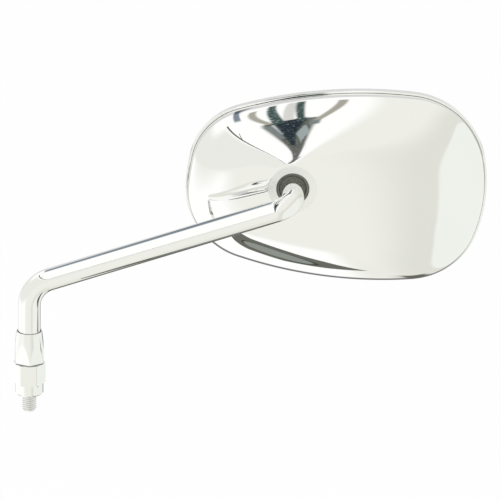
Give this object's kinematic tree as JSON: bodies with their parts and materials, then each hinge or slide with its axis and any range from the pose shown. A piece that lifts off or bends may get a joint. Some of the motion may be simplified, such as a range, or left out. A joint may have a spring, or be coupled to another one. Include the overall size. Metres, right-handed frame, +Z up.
{
  "type": "motorcycle mirror",
  "caption": "Chrome motorcycle mirror: bent round stem on a hex adapter with a threaded stud, carrying a dished head with bezel and convex glass on a ball joint.",
  "frame": {"origin": "centre of the adapter's seat face, on the stud's axis, where the stud leaves the collar", "axes": "+Z up along the stud and the post, +X along the stem's long run towards the head's far end, +Y out of the glass"},
  "size_m": [0.2685, 0.0752, 0.1754],
  "materials": {
    "fitting_chrome": "bright chrome plate on machined steel",
    "stem_chrome": "bright chrome plate on polished bar",
    "shell_chrome": "bright chrome plate on pressed steel",
    "ball_black": "black phosphate, oiled",
    "liner_nylon": "black nylon",
    "zinc_steel": "bright zinc plate",
    "spring_steel": "blued spring steel",
    "gasket_rubber": "black moulded rubber",
    "mirror_glass": "silvered convex glass",
    "pad_foam": "closed-cell foam"
  },
  "bodies": {
    "adapter": {"stud_adapter": "fitting_chrome"},
    "arm": {"stem": "stem_chrome", "lock_nut": "fitting_chrome", "swivel_ball": "ball_black"},
    "front_liner": {"front_liner": "liner_nylon"},
    "rear_liner": {"rear_liner": "liner_nylon"},
    "head": {"shell": "shell_chrome", "bezel": "shell_chrome", "gasket": "gasket_rubber", "glass": "mirror_glass", "foam_pad": "pad_foam", "socket_housing": "zinc_steel", "pressure_cup": "zinc_steel", "disc_springs": "spring_steel", "retainer_plate": "zinc_steel", "clamp_screws": "zinc_steel", "screw_washers": "spring_steel"}
  },
  "joints": [
    {"name": "arm_swing", "type": "hinge", "parent": "adapter", "child": "arm", "pos_m": [0, 0, 0.0187], "axis": [0, 0, 1], "range_deg": [-180, 180]},
    {"name": "head_roll", "type": "hinge", "parent": "arm", "child": "front_liner", "pos_m": [0.1475, 0.0352, 0.1155], "axis": [0, 1, 0], "continuous": true},
    {"name": "head_pan", "type": "hinge", "parent": "front_liner", "child": "rear_liner", "pos_m": [0.1475, 0.0352, 0.1155], "axis": [0, 0, 1], "range_deg": [-14, 14]},
    {"name": "head_tilt", "type": "hinge", "parent": "rear_liner", "child": "head", "pos_m": [0.1475, 0.0352, 0.1155], "axis": [1, 0, 0], "range_deg": [-14, 14]}
  ]
}
